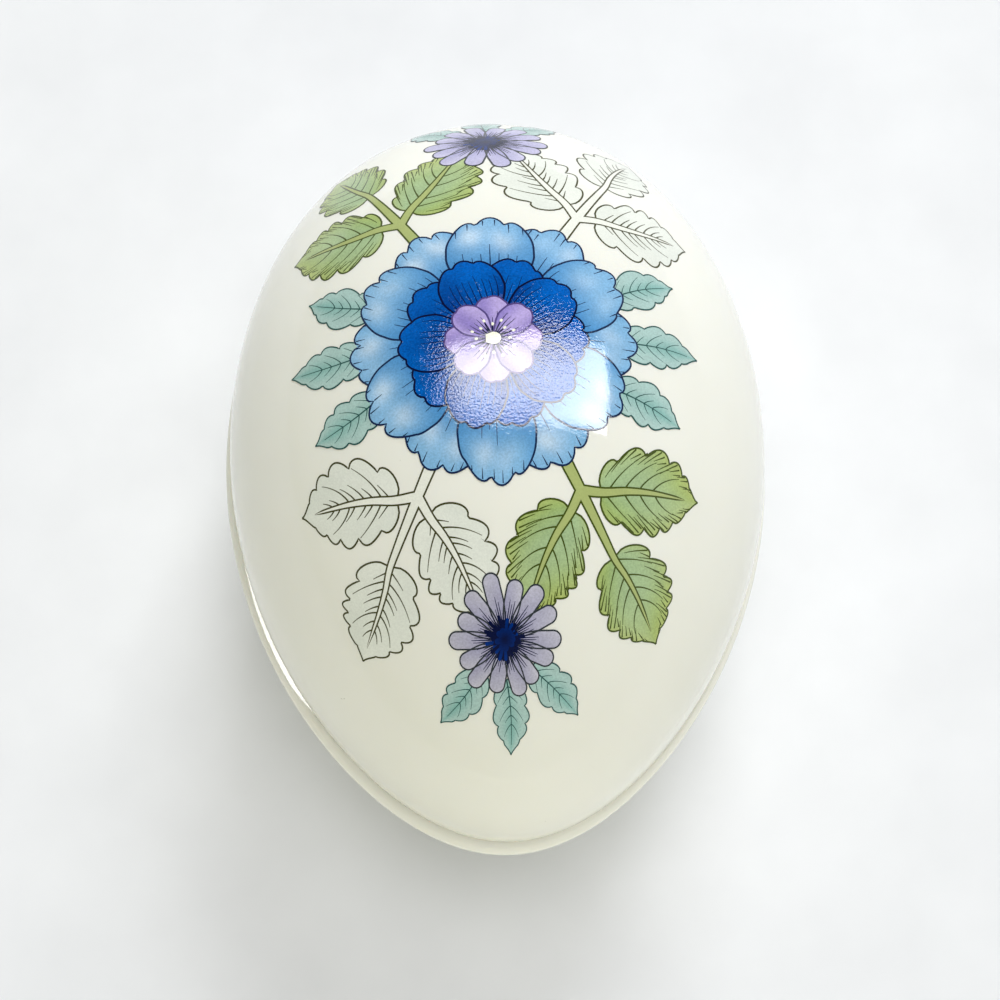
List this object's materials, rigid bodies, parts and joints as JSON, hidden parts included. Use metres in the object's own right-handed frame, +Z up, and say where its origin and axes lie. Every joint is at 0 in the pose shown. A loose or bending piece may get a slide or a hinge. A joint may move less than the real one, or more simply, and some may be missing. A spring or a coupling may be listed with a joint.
{
  "type": "porcelain trinket box",
  "caption": "Egg-shaped porcelain trinket box lying on its side, with a loose lift-off lid over a bowl-shaped base on an oval foot ring.",
  "frame": {"origin": "on the surface the box stands on, under the middle of the base's rim", "axes": "+Z up, +Y along the egg towards its big end, +X to the right seen from the small end"},
  "size_m": [0.0616, 0.083, 0.0544],
  "materials": {
    "glazed_base": "clear gloss glaze over ivory-white bone china",
    "glazed_lid": "clear gloss glaze over ivory-white bone china, with a fired floral transfer print in blue, lilac and green"
  },
  "bodies": {
    "base": {"base": "glazed_base"},
    "lid": {"lid": "glazed_lid"}
  },
  "joints": [
    {"name": "lid_lift", "type": "slide", "parent": "base", "child": "lid", "axis": [0, 0, 1], "range_m": [0, 0.06]}
  ]
}
